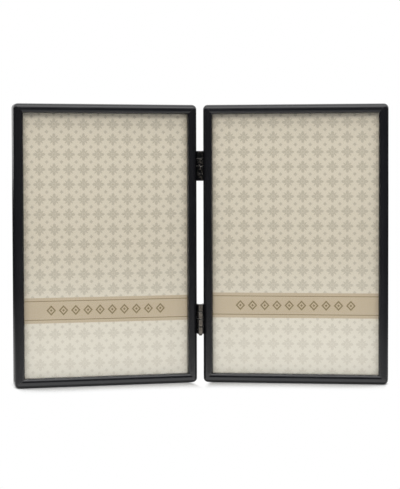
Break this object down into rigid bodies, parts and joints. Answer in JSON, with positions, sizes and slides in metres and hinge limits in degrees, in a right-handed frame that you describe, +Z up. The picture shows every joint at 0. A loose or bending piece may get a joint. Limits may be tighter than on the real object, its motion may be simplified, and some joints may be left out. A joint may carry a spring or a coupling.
{
  "type": "hinged double photo frame",
  "caption": "Pair of upright glazed photo frames in black half-round metal moulding, joined by knuckle hinges so that they stand part open or fold shut face to face.",
  "frame": {"origin": "middle of the standing frame's footprint, on the surface it stands on", "axes": "+Z up, +X to the viewer's right, the pictures face -Y, hinges at the back of the V"},
  "size_m": [0.2118, 0.0296, 0.1584],
  "materials": {
    "moulding": "satin black",
    "hinge": "dark steel, rubbed",
    "pin": "blackened, worn",
    "glass": "clear",
    "print": "printed paper",
    "board": "hardboard",
    "velveteen": "black velveteen",
    "button": "plated steel",
    "rivet": "plated steel"
  },
  "bodies": {
    "left_panel": {"left_top_rail": "moulding", "left_bottom_rail": "moulding", "left_outer_stile": "moulding", "left_hinge_stile": "moulding", "left_glass": "glass", "left_photo_insert": "print", "left_backing_board": "board", "left_velveteen_back": "velveteen", "left_turn_button_rivets": "rivet", "left_hinge_rivets": "hinge", "upper_hinge_left_leaf": "hinge", "lower_hinge_left_leaf": "hinge", "upper_hinge_pin": "pin", "lower_hinge_pin": "pin"},
    "right_panel": {"right_top_rail": "moulding", "right_bottom_rail": "moulding", "right_outer_stile": "moulding", "right_hinge_stile": "moulding", "right_glass": "glass", "right_photo_insert": "print", "right_backing_board": "board", "right_velveteen_back": "velveteen", "right_turn_button_rivets": "rivet", "right_hinge_rivets": "hinge", "upper_hinge_right_leaf": "hinge", "lower_hinge_right_leaf": "hinge"},
    "left_turn_button_upper_hinge": {"left_turn_button_upper_hinge": "button"},
    "left_turn_button_upper_outer": {"left_turn_button_upper_outer": "button"},
    "left_turn_button_lower_hinge": {"left_turn_button_lower_hinge": "button"},
    "left_turn_button_lower_outer": {"left_turn_button_lower_outer": "button"},
    "right_turn_button_upper_hinge": {"right_turn_button_upper_hinge": "button"},
    "right_turn_button_upper_outer": {"right_turn_button_upper_outer": "button"},
    "right_turn_button_lower_hinge": {"right_turn_button_lower_hinge": "button"},
    "right_turn_button_lower_outer": {"right_turn_button_lower_outer": "button"}
  },
  "joints": [
    {"name": "panel_fold", "type": "hinge", "parent": "left_panel", "child": "right_panel", "pos_m": [0, 0.00591, 0.0792], "axis": [0, 0, -1], "range_deg": [-27, 156.7]},
    {"name": "left_turn_button_upper_hinge_turn", "type": "hinge", "parent": "left_panel", "child": "left_turn_button_upper_hinge", "pos_m": [-0.01275, 0.01155, 0.1245], "axis": [-0.2019, 0.9794, 0], "continuous": true},
    {"name": "left_turn_button_upper_outer_turn", "type": "hinge", "parent": "left_panel", "child": "left_turn_button_upper_outer", "pos_m": [-0.096, -0.00561, 0.1245], "axis": [-0.2019, 0.9794, 0], "continuous": true},
    {"name": "left_turn_button_lower_hinge_turn", "type": "hinge", "parent": "left_panel", "child": "left_turn_button_lower_hinge", "pos_m": [-0.01275, 0.01155, 0.0325], "axis": [-0.2019, 0.9794, 0], "continuous": true},
    {"name": "left_turn_button_lower_outer_turn", "type": "hinge", "parent": "left_panel", "child": "left_turn_button_lower_outer", "pos_m": [-0.096, -0.00561, 0.0325], "axis": [-0.2019, 0.9794, 0], "continuous": true},
    {"name": "right_turn_button_upper_hinge_turn", "type": "hinge", "parent": "right_panel", "child": "right_turn_button_upper_hinge", "pos_m": [0.01275, 0.01155, 0.1245], "axis": [0.2019, 0.9794, 0], "continuous": true},
    {"name": "right_turn_button_upper_outer_turn", "type": "hinge", "parent": "right_panel", "child": "right_turn_button_upper_outer", "pos_m": [0.096, -0.00561, 0.1245], "axis": [0.2019, 0.9794, 0], "continuous": true},
    {"name": "right_turn_button_lower_hinge_turn", "type": "hinge", "parent": "right_panel", "child": "right_turn_button_lower_hinge", "pos_m": [0.01275, 0.01155, 0.0325], "axis": [0.2019, 0.9794, 0], "continuous": true},
    {"name": "right_turn_button_lower_outer_turn", "type": "hinge", "parent": "right_panel", "child": "right_turn_button_lower_outer", "pos_m": [0.096, -0.00561, 0.0325], "axis": [0.2019, 0.9794, 0], "continuous": true}
  ]
}
